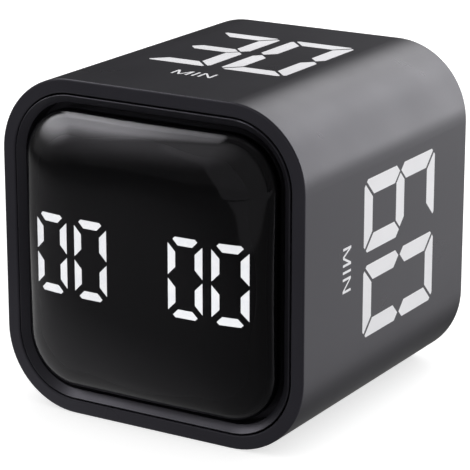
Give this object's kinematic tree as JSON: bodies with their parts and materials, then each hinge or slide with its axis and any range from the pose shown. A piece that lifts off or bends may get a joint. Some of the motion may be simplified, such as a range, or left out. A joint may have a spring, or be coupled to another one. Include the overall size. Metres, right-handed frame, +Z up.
{
  "type": "cube kitchen timer",
  "caption": "Black cube kitchen timer with a domed smoked display; turning a numbered side upwards starts that many minutes. Buttons, sound switch and battery door are at the back.",
  "frame": {"origin": "middle of the case's bottom face, half way between the front and rear rims", "axes": "+Z up, the display faces -Y, +X to the right seen from the front"},
  "size_m": [0.06, 0.0638, 0.06],
  "materials": {
    "case_plastic": "fine satin moulded black",
    "bezel_plastic": "satin moulded black",
    "cover_plastic": "fine matt moulded black",
    "smoked_lens": "polished smoked acrylic",
    "lens_glue": "cured adhesive",
    "black_plastic": "matt black moulding",
    "lit_segment": "glowing translucent white",
    "dark_segment": "unlit smoked translucent",
    "circuit_board": "green solder mask",
    "led_package": "phosphor in a white package",
    "ferrite": "sintered ferrite",
    "capacitor_can": "drawn can",
    "connector_plastic": "natural nylon",
    "ribbon_film": "white film with flat conductors",
    "screw_steel": "blackened steel",
    "switch_steel": "stamped can",
    "plunger_plastic": "grey acetal",
    "button_plastic": "matt soft-touch",
    "knob_plastic": "matt grey",
    "cell_jacket": "printed film over a can",
    "contact_nickel": "nickel-plated spring steel",
    "numeral_white": "satin white"
  },
  "bodies": {
    "case": {"case_sleeve": "case_plastic", "front_bezel": "bezel_plastic", "rear_cover": "cover_plastic", "display_lens": "smoked_lens", "lens_glue": "lens_glue", "light_box": "black_plastic", "lit_segments": "lit_segment", "dark_segments": "dark_segment", "display_board": "circuit_board", "main_board": "circuit_board", "segment_leds": "led_package", "driver_chip": "black_plastic", "controller_chip": "black_plastic", "motion_sensor": "black_plastic", "button_switches": "black_plastic", "sound_switch": "switch_steel", "buzzer": "black_plastic", "boost_coil": "ferrite", "capacitors": "capacitor_can", "display_connector": "connector_plastic", "main_connector": "connector_plastic", "ribbon_cable": "ribbon_film", "display_screws": "screw_steel", "main_board_screws": "screw_steel", "cover_screws": "screw_steel", "upper_cell": "cell_jacket", "lower_cell": "cell_jacket", "contact_bridge": "contact_nickel", "contact_plates": "contact_nickel", "contact_springs": "contact_nickel", "numeral_top_30": "numeral_white", "numeral_right_60": "numeral_white", "numeral_bottom_05": "numeral_white", "numeral_left_15": "numeral_white"},
    "minute_button": {"minute_button": "button_plastic", "minute_plunger": "plunger_plastic"},
    "start_button": {"start_button": "button_plastic", "start_plunger": "plunger_plastic"},
    "second_button": {"second_button": "button_plastic", "second_plunger": "plunger_plastic"},
    "sound_knob": {"sound_knob": "knob_plastic", "switch_lever": "plunger_plastic"},
    "battery_door": {"battery_door": "cover_plastic"}
  },
  "joints": [
    {"name": "minute_press", "type": "slide", "parent": "case", "child": "minute_button", "axis": [0, -1, 0], "range_m": [0, 0.0005], "stiffness_N_per_m": 400},
    {"name": "start_press", "type": "slide", "parent": "case", "child": "start_button", "axis": [0, -1, 0], "range_m": [0, 0.0005], "stiffness_N_per_m": 400},
    {"name": "second_press", "type": "slide", "parent": "case", "child": "second_button", "axis": [0, -1, 0], "range_m": [0, 0.0005], "stiffness_N_per_m": 400},
    {"name": "sound_slide", "type": "slide", "parent": "case", "child": "sound_knob", "axis": [1, 0, 0], "range_m": [-0.002, 0.002]},
    {"name": "door_swing", "type": "hinge", "parent": "case", "child": "battery_door", "pos_m": [0, 0.0286, 0.042], "axis": [1, 0, 0], "range_deg": [0, 90]}
  ]
}
